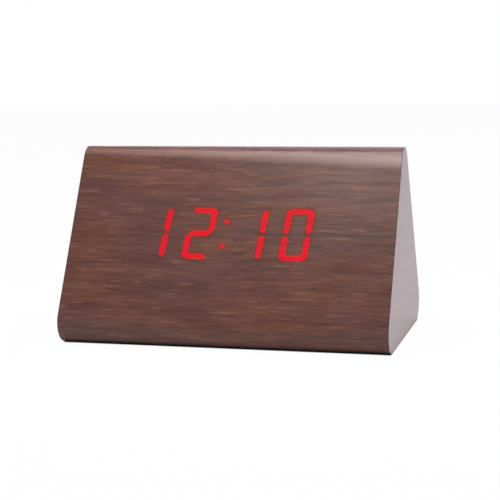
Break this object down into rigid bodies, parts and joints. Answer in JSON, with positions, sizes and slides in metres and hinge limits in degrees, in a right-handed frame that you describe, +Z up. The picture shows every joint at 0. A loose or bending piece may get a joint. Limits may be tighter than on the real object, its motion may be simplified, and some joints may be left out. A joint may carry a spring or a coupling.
{
  "type": "wooden digital alarm clock",
  "caption": "Triangular wooden alarm clock: slanted red digits shine through a walnut film front, with a rear button panel and power jack and a hinged battery door in the base.",
  "frame": {"origin": "middle of the base, on the surface that the clock stands on", "axes": "+X to the right seen from the front, along the clock; -Y towards the viewer of the digits; +Z up"},
  "size_m": [0.128, 0.08, 0.0735],
  "materials": {
    "walnut_film": "satin walnut-grain film",
    "end_film": "satin walnut-grain film, cut to the end",
    "mdf": "raw sawn fibreboard",
    "lit_acrylic": "diffusing acrylic, lit red",
    "dark_acrylic": "diffusing acrylic, unlit",
    "white_abs": "moulded, matt",
    "led_ceramic": "moulded",
    "circuit_board": "green solder mask",
    "zinc_screw": "zinc plated",
    "chip_epoxy": "moulded epoxy",
    "nickel": "nickel plated",
    "white_nylon": "moulded",
    "grey_ribbon": "extruded",
    "black_abs": "moulded, fine spark texture",
    "button_abs": "moulded, satin",
    "plunger_nylon": "moulded",
    "switch_steel": "tinned",
    "jack_nylon": "moulded",
    "buzzer_case": "moulded",
    "capsule_alloy": "drawn can",
    "cell_jacket": "printed jacket, plain",
    "red_pvc": "extruded",
    "black_pvc": "extruded"
  },
  "bodies": {
    "case": {"wood_wrap": "walnut_film", "left_end_film": "end_film", "right_end_film": "end_film", "front_board": "mdf", "rear_board": "mdf", "base_board": "mdf", "left_end_board": "mdf", "right_end_board": "mdf", "lit_segments": "lit_acrylic", "dark_segments": "dark_acrylic", "display_reflector": "white_abs", "led_chips": "led_ceramic", "display_board": "circuit_board", "button_board": "circuit_board", "display_screws": "zinc_screw", "panel_screws": "zinc_screw", "button_board_screws": "zinc_screw", "battery_box_screws": "zinc_screw", "controller_chip": "chip_epoxy", "quartz_crystal": "nickel", "jack_centre_pin": "nickel", "contact_plates": "nickel", "contact_springs": "nickel", "cable_connectors": "white_nylon", "ribbon_cable": "grey_ribbon", "control_panel": "black_abs", "battery_box": "black_abs", "switch_bodies": "switch_steel", "dc_jack": "jack_nylon", "buzzer": "buzzer_case", "microphone": "capsule_alloy", "cell_front": "cell_jacket", "cell_middle": "cell_jacket", "cell_rear": "cell_jacket", "red_lead": "red_pvc", "black_lead": "black_pvc"},
    "set_key": {"set_button": "button_abs", "set_plunger": "plunger_nylon"},
    "up_key": {"up_button": "button_abs", "up_plunger": "plunger_nylon"},
    "down_key": {"down_button": "button_abs", "down_plunger": "plunger_nylon"},
    "battery_hatch": {"battery_door": "black_abs"}
  },
  "joints": [
    {"name": "set_press", "type": "slide", "parent": "case", "child": "set_key", "axis": [0, -0.87, -0.493], "range_m": [0, 0.0005], "stiffness_N_per_m": 120, "springref_m": -0.001},
    {"name": "up_press", "type": "slide", "parent": "case", "child": "up_key", "axis": [0, -0.87, -0.493], "range_m": [0, 0.0005], "stiffness_N_per_m": 120, "springref_m": -0.001},
    {"name": "down_press", "type": "slide", "parent": "case", "child": "down_key", "axis": [0, -0.87, -0.493], "range_m": [0, 0.0005], "stiffness_N_per_m": 120, "springref_m": -0.001},
    {"name": "battery_door_hinge", "type": "hinge", "parent": "case", "child": "battery_hatch", "pos_m": [0, 0.01775, 0.0014], "axis": [1, 0, 0], "range_deg": [0, 100]}
  ]
}
